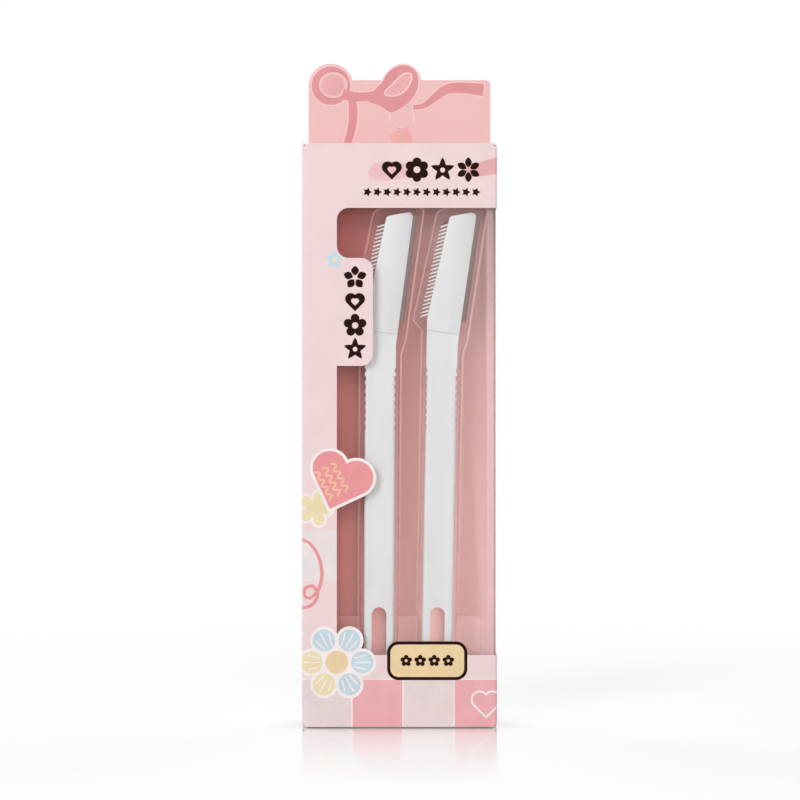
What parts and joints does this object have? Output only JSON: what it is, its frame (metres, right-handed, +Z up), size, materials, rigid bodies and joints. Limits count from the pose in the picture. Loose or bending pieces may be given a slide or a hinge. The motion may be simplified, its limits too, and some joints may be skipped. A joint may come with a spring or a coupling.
{
  "type": "eyebrow razor pack",
  "caption": "Hanging window carton with tuck flaps, a clear moulded tray and straight eyebrow razors that have a guarded blade and a comb edge.",
  "frame": {"origin": "middle of the carton's base, on the surface it stands on", "axes": "+X across the front to the side that the window folds round, +Y from the front to the back panel, +Z up to the hanging header; the front faces -Y"},
  "size_m": [0.0584, 0.016, 0.2007],
  "materials": {
    "printed_board": "printed, matt varnish",
    "header_board": "printed, matt varnish",
    "window_film": "clear",
    "clear_tray": "clear, thermoformed",
    "white_plastic": "satin",
    "blade_steel": "fine ground"
  },
  "bodies": {
    "carton": {"front_panel": "printed_board", "back_panel": "header_board", "left_side_panel": "printed_board", "right_side_panel": "printed_board", "glue_flap": "printed_board", "header_front_panel": "header_board", "window_film": "window_film"},
    "hang_tab": {"hang_hole_tab": "header_board"},
    "top_lid": {"top_lid": "printed_board"},
    "top_tuck": {"top_tuck_flap": "printed_board"},
    "top_dust_left": {"top_dust_flap_left": "printed_board"},
    "top_dust_right": {"top_dust_flap_right": "printed_board"},
    "bottom_lid": {"bottom_lid": "printed_board"},
    "bottom_tuck": {"bottom_tuck_flap": "printed_board"},
    "bottom_dust_left": {"bottom_dust_flap_left": "printed_board"},
    "bottom_dust_right": {"bottom_dust_flap_right": "printed_board"},
    "tray": {"blister_tray": "clear_tray"},
    "left_razor": {"left_razor_handle": "white_plastic", "left_razor_blade": "blade_steel", "left_razor_head_cover": "white_plastic"},
    "right_razor": {"right_razor_handle": "white_plastic", "right_razor_blade": "blade_steel", "right_razor_head_cover": "white_plastic"}
  },
  "joints": [
    {"name": "top_lid_hinge", "type": "hinge", "parent": "carton", "child": "top_lid", "pos_m": [0, 0.0071, 0.175], "axis": [-1, 0, 0], "range_deg": [0, 88]},
    {"name": "top_tuck_hinge", "type": "hinge", "parent": "top_lid", "child": "top_tuck", "pos_m": [0, -0.0064, 0.17455], "axis": [1, 0, 0], "range_deg": [0, 71]},
    {"name": "top_dust_left_hinge", "type": "hinge", "parent": "carton", "child": "top_dust_left", "pos_m": [-0.02925, 0, 0.1744], "axis": [0, -1, 0], "range_deg": [0, 36]},
    {"name": "top_dust_right_hinge", "type": "hinge", "parent": "carton", "child": "top_dust_right", "pos_m": [0.02925, 0, 0.1744], "axis": [0, 1, 0], "range_deg": [0, 36]},
    {"name": "bottom_lid_hinge", "type": "hinge", "parent": "carton", "child": "bottom_lid", "pos_m": [0, 0.008, 0], "axis": [1, 0, 0], "range_deg": [0, 170]},
    {"name": "bottom_tuck_hinge", "type": "hinge", "parent": "bottom_lid", "child": "bottom_tuck", "pos_m": [0, -0.0064, 0.00045], "axis": [-1, 0, 0], "range_deg": [0, 86]},
    {"name": "bottom_dust_left_hinge", "type": "hinge", "parent": "carton", "child": "bottom_dust_left", "pos_m": [-0.02925, 0, 0.0006], "axis": [0, 1, 0], "range_deg": [0, 86]},
    {"name": "bottom_dust_right_hinge", "type": "hinge", "parent": "carton", "child": "bottom_dust_right", "pos_m": [0.02925, 0, 0.0006], "axis": [0, -1, 0], "range_deg": [0, 86]},
    {"name": "hang_tab_hinge", "type": "hinge", "parent": "carton", "child": "hang_tab", "pos_m": [0.0006, 0.008, 0.18758], "axis": [1, 0, 0], "range_deg": [0, 90]},
    {"name": "tray_play", "type": "slide", "parent": "carton", "child": "tray", "axis": [0, 0, 1], "range_m": [0, 0.001]},
    {"name": "left_razor_lift", "type": "slide", "parent": "tray", "child": "left_razor", "axis": [0, -1, 0], "range_m": [0, 0.0006]},
    {"name": "right_razor_lift", "type": "slide", "parent": "tray", "child": "right_razor", "axis": [0, -1, 0], "range_m": [0, 0.0006]}
  ],
  "couplings": [
    {"joint": "top_tuck_hinge", "follows": "top_lid_hinge", "ratio": 0.8},
    {"joint": "top_dust_left_hinge", "follows": "top_lid_hinge", "ratio": 0.4},
    {"joint": "top_dust_right_hinge", "follows": "top_lid_hinge", "ratio": 0.4},
    {"joint": "bottom_tuck_hinge", "follows": "bottom_lid_hinge", "ratio": 0.5},
    {"joint": "bottom_dust_left_hinge", "follows": "bottom_lid_hinge", "ratio": 0.5},
    {"joint": "bottom_dust_right_hinge", "follows": "bottom_lid_hinge", "ratio": 0.5}
  ]
}
